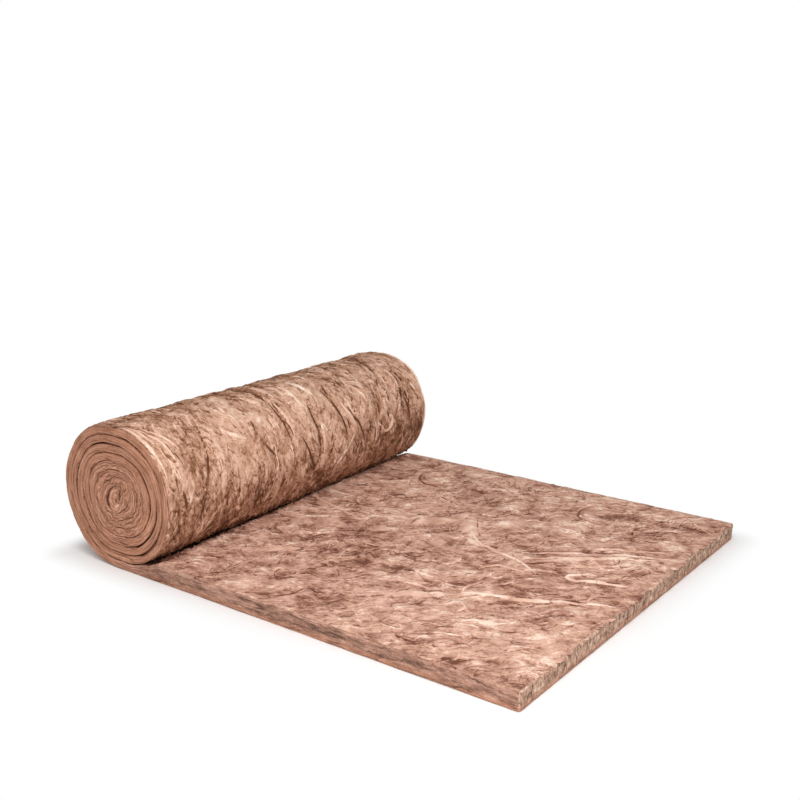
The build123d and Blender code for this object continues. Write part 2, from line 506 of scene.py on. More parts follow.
def crinkled(tree, place, size, way=0.0, drawn_out=1.0):
    """Fine crinkles about a size apart: thin dark cracks and thin pale folds, each 1 where it is and 0 elsewhere."""
    # The materials paint the cracks dark as shade and the folds pale as highlight.
    turned = add(tree, "VectorRotate", {"Vector": place, "Angle": -way}, rotation_type="Z_AXIS")
    spot = add(tree, "VectorMath", {0: turned, 1: (drawn_out / size, 1 / size, 1 / size)}, operation="MULTIPLY")
    wander = add(tree, "TexNoise", {"Vector": spot, "Scale": 0.48, "Detail": 2}).outputs["Color"]
    wander = add(tree, "VectorMath", {0: wander, "Scale": 2.0}, operation="SCALE")
    bent = add(tree, "VectorMath", {0: spot, 1: wander}, operation="ADD")
    folds = []
    for offset, width in ((3.0, 0.030), (11.0, 0.035)):
        shifted = add(tree, "VectorMath", {0: bent, 1: (offset, offset, offset)}, operation="ADD")
        thin = add(tree, "TexNoise", {"Vector": shifted, "Scale": 1.1, "Detail": 2, "Roughness": 0.4})
        thin = add(tree, "Math", {0: thin, 1: 0.5}, operation="SUBTRACT")
        thin = add(tree, "Math", {0: thin}, operation="ABSOLUTE")
        thin = add(tree, "MapRange", {"Value": thin, "From Min": width, "From Max": 0.0})
        broken = add(tree, "TexNoise", {"Vector": shifted, "Scale": 0.4, "Detail": 1})
        broken = add(tree, "MapRange", {"Value": broken, "From Min": 0.45, "From Max": 0.58})
        folds.append(add(tree, "Math", {0: thin, 1: broken}, operation="MULTIPLY"))
    return folds


def felted_wool(name, tones, lean=0.0, spread=math.pi):
    """A face of the mat: fibres felted flat under rollers, in tufts that lie many ways.

    The fibres themselves are far too fine to show, so the grit of their ends is drawn 2.4 mm coarse.
    """
    material, tree = matte_fibres(name)
    place = add(tree, "Attribute", attribute_name="mat_place").outputs["Vector"]
    broad, broad_own, broad_inside = combed(tree, place, 0.15, 0.085, 0.018, lean, spread)
    fine, fine_own, fine_inside = combed(tree, place, 0.07, 0.038, 0.009, lean, spread)
    grit = add(tree, "TexNoise", {"Vector": place, "Scale": 1 / 0.00238, "Detail": 2})
    felt_tone_and_shade = add(tree, "Attribute", attribute_name="felt_tone_and_shade").outputs["Fac"]
    cracks, folds = crinkled(tree, place, 0.03)
    # Painted shade and highlight: darker at the tufts' borders and in the cracks, paler inside the tufts and on the
    # folds.
    tone = weigh(
        tree, 0.46, (broad, 0.8), (fine, 0.7), (broad_own, 0.12), (fine_own, 0.15), (broad_inside, 0.15),
        (fine_inside, 0.15), (grit, 0.25), (cracks, -0.3), (folds, 0.15),
    )
    colour_by(tree, add(tree, "Math", {0: felt_tone_and_shade, 1: 0.22, 2: tone}, operation="MULTIPLY_ADD"), tones)
    relief = weigh(
        tree, 0.0, (broad, 0.5), (fine, 0.7), (broad_inside, 0.25), (fine_inside, 0.15), (grit, 0.15),
    )
    raise_by(tree, relief, 0.004)
    return material


def layered(tree, place, layer, run, seam):
    """The thin layers of the mat where it is cut: their streaks, and dark seams where they part, 1 at a seam.

    layer is the thickness of a layer and run its length, and the seams are a seam apart.
    """
    wave = add(tree, "VectorMath", {0: place, 1: (1 / 0.111, 1 / 0.111, 1 / 0.025)}, operation="MULTIPLY")
    wave = add(tree, "TexNoise", {"Vector": wave, "Scale": 1.0, "Detail": 2}).outputs["Color"]
    wave = add(tree, "VectorMath", {0: wave, 1: (0.0, 0.0, 0.009)}, operation="MULTIPLY")
    bent = add(tree, "VectorMath", {0: place, 1: wave}, operation="ADD")
    thin = add(tree, "VectorMath", {0: bent, 1: (1 / run, 1 / run, 1 / layer)}, operation="MULTIPLY")
    thin = add(tree, "TexNoise", {"Vector": thin, "Scale": 1.0, "Detail": 4, "Roughness": 0.7})
    long = 16 * seam
    seams = add(tree, "VectorMath", {0: bent, 1: (1 / long, 1 / long, 1 / seam)}, operation="MULTIPLY")
    seams = add(tree, "TexNoise", {"Vector": seams, "Scale": 1.0, "Detail": 1})
    seams = add(tree, "Math", {0: seams, 1: 0.5}, operation="SUBTRACT")
    seams = add(tree, "Math", {0: seams}, operation="ABSOLUTE")
    seams = add(tree, "MapRange", {"Value": seams, "From Min": 0.045, "From Max": 0.005})
    broken = add(tree, "TexNoise", {"Vector": place, "Scale": 1 / 0.0625, "Detail": 2})
    broken = add(tree, "MapRange", {"Value": broken, "From Min": 0.35, "From Max": 0.60, "To Min": 0.15})
    return thin, add(tree, "Math", {0: seams, 1: broken}, operation="MULTIPLY")


def wavy(tree, place, spot, crumple):
    """Layers that show as paler and darker lines around the roll, and fold into squiggles where it is crumpled."""
    height = add(tree, "SeparateXYZ", {0: place}).outputs["Z"]
    slow = add(tree, "TexNoise", {"Vector": place, "Scale": 1 / 0.143, "Detail": 1})
    folds = add(tree, "TexNoise", {"Vector": spot, "Scale": 1 / 0.025, "Detail": 2, "Roughness": 0.5})
    folded = add(tree, "Math", {0: crumple, 1: 2.4, 2: 0.8}, operation="MULTIPLY_ADD")
    folded = add(tree, "Math", {0: folds, 1: folded}, operation="MULTIPLY")
    line = add(tree, "Math", {0: height, 1: 1 / 0.0217, 2: folded}, operation="MULTIPLY_ADD")
    line = add(tree, "Math", {0: slow, 1: 3.0, 2: line}, operation="MULTIPLY_ADD")
    return add(tree, "Math", {0: line, 1: 0.5}, operation="PINGPONG")


def sawn_wool(name, tones, layer, run, seamed, specks, dull, grey, greenish, fluff):
    """A cut edge of the mat: its thin layers show, and crumple in the middle of the roll.

    Where the mat is laid flat its upper layers are looser, so they are grainier by specks, darker by dull, and
    greyer and greener, under a paler fluff at the very top. The saw's own fibre ends are drawn 3 mm coarse.
    """
    material, tree = matte_fibres(name)
    place = add(tree, "Attribute", attribute_name="mat_place").outputs["Vector"]
    spot = add(tree, "TexCoord").outputs["Object"]
    crumple = add(tree, "Attribute", attribute_name="crumple").outputs["Fac"]
    look = {"Vector": spot, "Scale": 1 / 0.01333, "Detail": 2, "Roughness": 0.5}
    folds = add(tree, "TexNoise", look).outputs["Color"]
    folds = add(tree, "VectorMath", {0: folds, 1: (0.5, 0.5, 0.5)}, operation="SUBTRACT")
    reach = add(tree, "Math", {0: crumple, 1: 0.016, 2: 0.010}, operation="MULTIPLY_ADD")
    folds = add(tree, "VectorMath", {0: folds, "Scale": reach}, operation="SCALE")
    bent = add(tree, "VectorMath", {0: place, 1: folds}, operation="ADD")
    thin, seams = layered(tree, bent, layer, run, 0.01176)
    # The crinkles' folds are painted paler and their cracks darker, as highlight and shade, besides their bump.
    cracks, ridges = crinkled(tree, spot, 0.014)
    crinkles = add(tree, "Math", {0: ridges, 1: cracks}, operation="SUBTRACT")
    crinkles = add(tree, "Math", {0: crinkles, 1: 0.12}, operation="MULTIPLY")
    deep = add(tree, "Math", {0: crumple, 1: 0.5, 2: 0.2}, operation="MULTIPLY_ADD")
    squiggles = add(tree, "Math", {0: wavy(tree, place, spot, crumple), 1: 0.25}, operation="SUBTRACT")
    squiggles = add(tree, "Math", {0: squiggles, 1: deep}, operation="MULTIPLY")
    patches = add(tree, "TexNoise", {"Vector": place, "Scale": 1 / 0.077, "Detail": 3})
    grit = add(tree, "TexNoise", {"Vector": place, "Scale": 1 / 0.00303, "Detail": 3, "Roughness": 0.7})
    parts = add(tree, "SeparateXYZ", {0: bent}).outputs
    laid = add(tree, "MapRange", {"Value": parts["X"], "From Min": 1.34, "From Max": 1.10})
    upper = add(tree, "MapRange", {"Value": parts["Z"], "From Min": 0.004, "From Max": 0.020})
    upper = add(tree, "Math", {0: upper, 1: laid}, operation="MULTIPLY")
    speckled = add(tree, "Math", {0: thin, 1: 0.5}, operation="SUBTRACT")
    speckled = add(tree, "Math", {0: speckled, 1: upper}, operation="MULTIPLY")
    fluffy = add(tree, "MapRange", {"Value": parts["Z"], "From Min": 0.039, "From Max": 0.047})
    fluffy = add(tree, "Math", {0: fluffy, 1: laid}, operation="MULTIPLY")
    bare = add(tree, "Math", {0: 1.0, 1: fluffy}, operation="SUBTRACT")
    seams = add(tree, "Math", {0: seams, 1: bare}, operation="MULTIPLY")
    # The rims of the turns fall back into the gaps between them, and are painted darker there as shade in the gaps.
    turned_in_shade = add(tree, "Math", {0: parts["Z"], 1: mat_thickness / 2}, operation="SUBTRACT")
    turned_in_shade = add(tree, "Math", {0: turned_in_shade}, operation="ABSOLUTE")
    turned_in_shade = add(tree, "MapRange", {"Value": turned_in_shade, "From Min": 0.017, "From Max": mat_thickness / 2})
    loose = add(tree, "Math", {0: crumple, 1: laid}, operation="MAXIMUM")
    loose = add(tree, "Math", {0: 1.0, 1: loose}, operation="SUBTRACT")
    turned_in_shade = add(tree, "Math", {0: turned_in_shade, 1: loose}, operation="MULTIPLY")
    tone = weigh(tree, 0.345, (thin, 0.85), (patches, 0.4), (grit, 0.45), (seams, -seamed))
    for pattern, weight in (
        (crinkles, 1.0), (squiggles, 1.0), (speckled, specks), (upper, -dull), (laid, 0.03 - dull),
        (turned_in_shade, -0.16), (fluffy, fluff),
    ):
        tone = add(tree, "Math", {0: pattern, 1: weight, 2: tone}, operation="MULTIPLY_ADD")
    faded = add(tree, "Math", {0: laid, 1: -0.02, 2: 1.0}, operation="MULTIPLY_ADD")
    faded = add(tree, "Math", {0: upper, 1: -grey, 2: faded}, operation="MULTIPLY_ADD")
    greener = add(tree, "Math", {0: upper, 1: greenish, 2: 0.5}, operation="MULTIPLY_ADD")
    colour_by(tree, tone, tones, faded, greener)
    relief = weigh(tree, 0.0, (thin, 1.0), (grit, 0.5), (seams, -0.7), (crinkles, 1.4), (squiggles, 1.2))
    raise_by(tree, relief, 0.003)
    return material


# Glass wool pressed flat by the felting rollers: dull, brown, and streaked every way by its own fibres.
top_felt = felted_wool("glass_wool_felted", ["#6A4334", "#976C59", "#C2947F", "#DCAF99", "#F6D6C2"])
# Its underside was drawn tight by the winding, so the streaks run mostly around the roll, and it is redder.
underside_tones = ["#5A3826", "#96694E", "#C79A82", "#DFB59C", "#F6D9C3"]
wall_felt = felted_wool("glass_wool_underside", underside_tones, lean=0.2, spread=0.6)
# Sawn with a band blade, which bares the layers as fine level lines, 7 mm by 38 mm here and much finer in the
# real wool, with dark seams where they part.
cut_tones = ["#65422E", "#905F48", "#BC8468", "#D6A187", "#F0CAB3"]
sawn_edge = sawn_wool(
    "glass_wool_sawn_edge", cut_tones, layer=0.00667, run=0.0385, seamed=0.36, specks=0.5, dull=0.105,
    grey=0.15, greenish=0.001, fluff=0.12,
)
# The free end was cut across the mat and has frayed, so it shows upright tufts and specks instead of lines.
torn_end = sawn_wool(
    "glass_wool_torn_end", cut_tones, layer=0.02, run=0.0111, seamed=0.15, specks=1.9, dull=-0.02,
    grey=0.20, greenish=0.010, fluff=0.04,
)
for material in (top_felt, wall_felt, sawn_edge, torn_end):
    wool_mat.data.materials.append(material)
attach(wool_mat, "root")
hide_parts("wool_mat")

# ---- The folded core ----
# The first turn of the mat starts as a small fold of wool in the eye of the roll. It nearly fills the eye, and
# leaves a slit beside it.
bpy.ops.object.select_all(action="DESELECT")
bpy.ops.mesh.primitive_cylinder_add(vertices=20, radius=0.014, depth=1.188, location=(0, 0, 0))
folded_core = bpy.context.object
folded_core.name = "folded_core"
folded_core.data.name = "folded_core"
folded_core.rotation_euler = (math.pi / 2, 0, 0)
folded_core.scale = (1, 0.6, 1)
folded_core.location = (-0.523, 0, 0.204)
bpy.ops.object.transform_apply(location=True, rotation=True, scale=True)
bpy.ops.object.modifier_add(type="BEVEL")
folded_core.modifiers["Bevel"].width = 0.003
folded_core.modifiers["Bevel"].segments = 2
bpy.ops.object.modifier_apply(modifier="Bevel")
bpy.ops.object.mode_set(mode="EDIT")
for station in np.linspace(-0.5, 0.5, 9):
    cut_through((0, station, 0), (0, 1, 0))
bpy.ops.object.mode_set(mode="OBJECT")
core = points_of(folded_core.data)
folded_core.data.vertices.foreach_set("co", settle(core).ravel())
# Its places count as far along the mat and within its thickness, so that it isn't coloured as laid edge.
mark(folded_core.data, "mat_place", core + [7.6, 0, -0.18])
mark(folded_core.data, "crumple", np.ones(len(core)))
folded_core.data.materials.append(wool_mat.data.materials[SAWN])
bpy.ops.object.shade_smooth_by_angle(angle=math.radians(50))
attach(folded_core, "root")

# ---- The tufts ----
# Loose tufts of fibre lie over each other on both faces of the mat, combed by the rollers that felted it.
# Each is a flat spindle with a rounded back, whose edges and ends dive into the mat.
bounds = {"top": (-0.004, 1.13), "wall": (1.33, 2.425)}  # from where to where along the mat they lie
tuft_reach, fibre_reach, clear_reach = 0.594, 0.598, 0.575  # how far from the middle of the mat, across it


def tuft_wool(name, tones, fibre, streaky, height, way, combing, mottled):
    """Glass wool seen along the combed fibres of one tuft: streaks run its length. fibre is a streak's width.

    The crinkles and the streaks of the felt run on over the tufts, mostly one way. A real fibre is a few
    thousandths of a millimetre thick, so the streaks stand for whole wisps of them.
    """
    material, tree = matte_fibres(name)
    place = add(tree, "Attribute", attribute_name="fibre_place").outputs["Vector"]
    drawn = add(tree, "VectorMath", {0: place, 1: (0.12 / fibre, 1 / fibre, 1)}, operation="MULTIPLY")
    look = {"Vector": drawn, "Scale": 1.0, "Detail": 3, "Roughness": 0.6, "Distortion": 0.3}
    streaks = add(tree, "TexNoise", look)
    own = add(tree, "Attribute", attribute_name="tuft_tone").outputs["Fac"]
    place = add(tree, "Attribute", attribute_name="mat_place").outputs["Vector"]
    soft = streaked(tree, place, way, 0.060, 0.014)
    wide = streaked(tree, place, way, 0.110, 0.030)
    mottle = add(tree, "TexNoise", {"Vector": place, "Scale": 1 / 0.01176, "Detail": 1, "Distortion": 0.8})
    clumps = add(tree, "TexNoise", {"Vector": place, "Scale": 1 / 0.0238, "Detail": 1, "Distortion": 1.2})
    cracks, folds = crinkled(tree, place, 0.028, way, 0.42)
    # Painted shade and highlight: darker in the crinkles' cracks, paler on their folds.
    tone = weigh(
        tree, own, (streaks, streaky), (soft, 0.8 * combing), (wide, combing), (mottle, mottled),
        (clumps, mottled), (cracks, -0.34), (folds, 0.24),
    )
    colour_by(tree, add(tree, "Math", {0: tone, 1: -0.06}, operation="ADD"), tones)
    relief = weigh(
        tree, 0.0, (streaks, 0.4), (soft, 1.0), (wide, 1.5), (mottle, mottled), (clumps, 1.5 * mottled),
        (cracks, -0.6), (folds, 0.5),
    )
    raise_by(tree, relief, height)
    return material


def lie(face, along, across):
    """Which way the fibres lie: in swirls on the top of the mat, and mostly around the roll on its wall."""
    places = np.stack([along, across, 0 * along], 1)
    if face == "top":
        swirling = 0.9 + 1.7 * ease(along + 0.5 * across, 0.45, 0.8)
        combed_over = np.exp(-(((along - 0.19) / 0.16) ** 2 + ((across - 0.13) / 0.10) ** 2))
        return 2.55 + swirling * (1 - combed_over) * ripple(places, 0.15, 83, 1)
    straying = 0.9 - 0.5 * ease(along, 2.10, 2.28)
    return 0.17 * ease(along, 1.95, 2.25) - 0.05 + straying * ripple(places, 0.12, 87, 1)


def comb(face, along, across, length, stations, stray, curl, chance):
    """Paths that follow the lie of the fibres from their middles, half the length each way."""
    count = len(along)
    off = chance.normal(0, stray, count)
    bend = np.clip(chance.normal(0, curl, count), -1.6 * curl, 1.6 * curl)
    step = length / (stations - 1)
    halves = []
    for way in (-1, 1):
        place = np.stack([along, across], 1)
        half = []
        for number in range(stations // 2):
            heading = lie(face, *place.T) + off + way * bend * step * (number + 0.5)
            place = place + way * step[:, None] * np.stack([np.cos(heading), np.sin(heading)], 1)
            half.append(place)
        halves.append(half)
    return np.stack(halves[0][::-1] + [np.stack([along, across], 1)] + halves[1], 1)


def lay(name, material, face, paths, wide, high, tone, chance, rim, uneven=1.0, edge=-0.001):
    """Lays a ribbon of fibre along each path, on the top of the laid mat or on the wall, all as one closed mesh.

    rim is how much darker its edges are painted as shade, uneven how ragged it is, and edge how high its edges lie on
    the felt.
    """
    count, stations = paths.shape[:2]
    heading = np.gradient(paths, axis=1)
    heading /= np.linalg.norm(heading, axis=2, keepdims=True)
    sideways = np.stack([-heading[..., 1], heading[..., 0]], 2)
    full = np.sin(np.linspace(0, np.pi, stations)) ** 0.6
    half = wide[:, None] / 2 * full * (1 + uneven * chance.uniform(-0.25, 0.25, (count, stations)))
    spread = paths[:, :, None] + sideways[:, :, None] * (half[..., None] * [-1, 0, 1])[..., None]
    crown = high[:, None] * full * (1 + uneven * chance.uniform(-0.3, 0.3, (count, stations)))
    dive = np.full_like(crown, edge)
    lift = np.stack([dive, crown, dive], 2)
    lift[:, (0, -1)] = -0.0015

    def strung(values):
        """Per ribbon: its starting point, three points at each station between, and its end point."""
        between = values[:, 1:-1].reshape(count, -1, *values.shape[3:])
        return np.concatenate([values[:, :1, 1], between, values[:, -1:, 1]], 1)

    spots, lift = strung(spread), strung(lift)
    along = np.clip(spots[..., 0], *bounds[face]).ravel()
    across = np.clip(spots[..., 1], -fibre_reach, fibre_reach).ravel()
    surface, felt_tone_and_shade = top_of_mat(along, across) if face == "top" else wall_of_roll(along, across)
    # Over a hollow in the felt a ribbon's crown stays above its edges, or it would turn inside out.
    each = 3 * (stations - 2) + 2
    rise = surface.reshape(count, each) + lift
    edges_rise = (rise[:, 1:-1:3] + rise[:, 3:-1:3]) / 2
    rise[:, 2:-1:3] = np.maximum(rise[:, 2:-1:3], edges_rise + 0.0004)
    vertices = settle(wind(along, across, rise.ravel() if face == "top" else -rise.ravel()))
    faces = [(0, 2, 1), (0, 3, 2), (0, 1, 3)]
    for low in range(1, each - 4, 3):
        faces += [(low + i, low + (i + 1) % 3, low + 3 + (i + 1) % 3, low + 3 + i) for i in range(3)]
    faces += [(each - 4, each - 3, each - 1), (each - 3, each - 2, each - 1), (each - 2, each - 4, each - 1)]
    if face != "top":
        faces = [tuple(reversed(corners)) for corners in faces]
    mesh = bpy.data.meshes.new(name)
    all_faces = [tuple(first + c for c in corners) for first in range(0, each * count, each) for corners in faces]
    mesh.from_pydata(vertices.tolist(), [], all_faces)
    on_edge = strung(np.broadcast_to([1.0, 0.0, 1.0], (count, stations, 3))).ravel() > 0
    # Painted shade and highlight: darker along the edges by rim, a little paler along the crown, over the felt's tone
    # beneath.
    tones = np.repeat(tone, each) + 0.22 * felt_tone_and_shade - np.where(on_edge, rim, -0.3 * rim)
    run = np.linalg.norm(np.diff(paths, axis=1, prepend=paths[:, :1]), axis=2).cumsum(1)
    fibre_place = np.stack([
        strung(np.repeat(run[..., None], 3, 2)),
        strung(half[..., None] * [-1, 0, 1]),
        np.repeat(chance.uniform(0, 40, (count, 1)), each, 1),
    ], 2)
    mark(mesh, "tuft_tone", np.clip(tones, 0, 1))
    mark(mesh, "fibre_place", fibre_place)
    mark(mesh, "mat_place", np.stack([along, across, 0 * along], 1))
    mesh.polygons.foreach_set("use_smooth", np.ones(len(mesh.polygons), bool))
    ends = np.empty(2 * len(mesh.edges), np.int32)
    mesh.edges.foreach_get("vertices", ends)
    ends = ends.reshape(-1, 2) % each
    on_crown = (ends % 3 == 2) & (ends < each - 1)
    mesh.attributes.new("sharp_edge", "BOOLEAN", "EDGE").data.foreach_set("value", ~on_crown.any(1))
    mesh.materials.append(material)
    piece = bpy.data.objects.new(name, mesh)
    bpy.context.scene.collection.objects.link(piece)
    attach(piece, "root")
    return piece


def tufts(
    name, material, face, count, seed, length, width, height, tone,
    stations=5, stray=0.3, curl=6.0, rim=0.10, span=None,
):
    """Scatters tufts that follow the lie of the fibres, and keeps off the grooves and the edges.

    Dark ones, and those in a span along the mat, keep further off, where they would show against the white.
    """
    chance = np.random.default_rng(seed)
    first, last = span or bounds[face]
    along, across = chance.uniform(first, last, count), chance.uniform(-tuft_reach, tuft_reach, count)
    long = length * chance.lognormal(0, 0.35, count)
    paths = comb(face, along, across, long, stations, stray, curl, chance)
    start, stop, out = paths[..., 0].min(1), paths[..., 0].max(1), np.abs(paths[..., 1]).max(1)
    dark = tone < 0.3
    kept = (out < mat_width / 2) & (start > first - 0.002) & (stop < last)
    if dark:
        kept &= start > first + 0.03
    if dark or span:
        kept &= out < clear_reach
    if face == "wall":
        for groove in grooves:
            kept &= apart(along, across, groove) > 0.5 * width + 0.003
    paths = paths[kept]
    count = len(paths)
    wide, high = width * chance.lognormal(0, 0.3, count), height * chance.uniform(0.5, 1.3, count)
    return lay(name, material, face, paths, wide, high, tone + chance.normal(0, 0.08, count), chance, rim)


# The felt's own brown, a little paler where fibre has come up, leaving the felt between tufts darker as painted
# shade, with soft streaks 60 and 110 mm long.
top_tones = ["#704535", "#A37461", "#CA9C87", "#E1B59F", "#F9DDCA"]
top_tuft_wool = tuft_wool("glass_wool_tufts", top_tones, 0.0056, 0.26, 0.0034, way=2.5, combing=0.95, mottled=0.42)
# The same wool on the wall, redder, and drawn out around the roll by the winding.
wall_tones = ["#5F3B27", "#9C6E53", "#CCA087", "#E4BDA5", "#F8DFCB"]
wall_tuft_wool = tuft_wool(
    "glass_wool_tufts_of_underside", wall_tones, 0.0056, 0.32, 0.0028, way=0.05, combing=0.8, mottled=0.40,
)
# Each call says how many tufts, their seed, length, width, height and tone.
tufts(
    "broad_tufts_top", top_tuft_wool, "top", 2800, 11, 0.062, 0.030, 0.0020, 0.52,
    stations=7, stray=0.5, rim=0.05,
)
tufts(
    "fine_tufts_top", top_tuft_wool, "top", 3400, 12, 0.044, 0.0125, 0.0018, 0.54,
    stray=0.55, curl=9.0, rim=0.06,
)
tufts(
    "broad_tufts_wall", wall_tuft_wool, "wall", 2900, 13, 0.060, 0.026, 0.0024, 0.51,
    stations=7, stray=0.55, rim=0.05,
)
tufts(
    "fine_tufts_wall", wall_tuft_wool, "wall", 3800, 14, 0.040, 0.0120, 0.0022, 0.52,
    stray=0.6, curl=8.0, rim=0.07,
)

# Lumps of fibre fill the nip, where the mat runs in under the roll, a little darker than the other tufts as painted
# shade.
tufts(
    "nip_tufts_top", top_tuft_wool, "top", 420, 15, 0.026, 0.016, 0.0050, 0.42,
    stray=0.8, curl=9.0, rim=0.08, span=(1.085, 1.128),
)
tufts(
    "nip_tufts_wall", wall_tuft_wool, "wall", 620, 16, 0.028, 0.013, 0.0060, 0.40,
    stray=0.5, curl=9.0, rim=0.08, span=(2.365, 2.424),
)

# ---- The loose strands ----
# Longer strands of fibre lie on the felt: pale ones that came loose, and dark ones of painted shade for the shadows
# in its creases.
# The clearest of them are laid where they were seen, as points along the mat and across it, in millimetres.


def scatter_strands(name, face, count, seed, length, width, height, tone, stations, curl):
    """Scatters thin ribbons of the tufts' wool, which stray and curl more than the tufts do."""
    wool = top_tuft_wool if face == "top" else wall_tuft_wool
    return tufts(name, wool, face, count, seed, length, width, height, tone, stations, 0.5, curl, rim=0.03)


scatter_strands("loose_strands_top", "top", 200, 21, 0.085, 0.0036, 0.0032, 0.78, stations=11, curl=16.0)
# The dark ribbons, with tones up to 0.16, are painted shade for the creases' shadows.
scatter_strands("crease_shade_top", "top", 520, 22, 0.050, 0.0050, 0.0022, 0.16, stations=7, curl=12.0)
scatter_strands("curled_crease_shade_top", "top", 170, 25, 0.110, 0.0056, 0.0024, 0.14, stations=13, curl=24.0)
scatter_strands("curled_strands_top", "top", 110, 26, 0.110, 0.0060, 0.0030, 0.72, stations=13, curl=24.0)
scatter_strands("loose_strands_wall", "wall", 220, 27, 0.085, 0.0034, 0.0034, 0.78, stations=11, curl=9.0)
scatter_strands("crease_shade_wall", "wall", 480, 24, 0.055, 0.0050, 0.0026, 0.12, stations=7, curl=6.0)


def through(points, stations=25):
    """A smooth path through a few points that are given in millimetres."""
    points = np.array(points) / 1000
    knots = np.concatenate([[0], np.linalg.norm(np.diff(points, axis=0), axis=1).cumsum()])
    at = np.linspace(0, knots[-1], stations)
    slopes = np.gradient(points, knots, axis=0)
    index = np.clip(np.searchsorted(knots, at, side="right") - 1, 0, len(points) - 2)
    gap = (knots[index + 1] - knots[index])[:, None]
    t = (at - knots[index])[:, None] / gap
    return (
        (2 * t**3 - 3 * t**2 + 1) * points[index] + (t**3 - 2 * t**2 + t) * gap * slopes[index]
        + (3 * t**2 - 2 * t**3) * points[index + 1] + (t**3 - t**2) * gap * slopes[index + 1]
    )


strand_loft = 1.4  # the strands have sprung up by this much over the height they are given below


def seen_strands(name, material, face, strands, seed):
    """Lays strands along given points, each with its width and height in millimetres and its tone."""
    paths = np.stack([through(points) for points, *_ in strands])
    wide, high, tone = np.array([sizes for _, *sizes in strands]).T
    chance = np.random.default_rng(seed)
    return lay(
        name, material, face, paths, wide / 1000, strand_loft * high / 1000, tone, chance,
        rim=0.03, uneven=0.35, edge=0.0006,
    )


def ring(along, across, radius, start, stop):
    """Points on part of a flattened circle, between two angles in degrees."""
    turns = np.radians(np.linspace(start, stop, 7))
    return tuple(zip(along - radius * np.cos(turns), across - 0.9 * radius * np.sin(turns)))


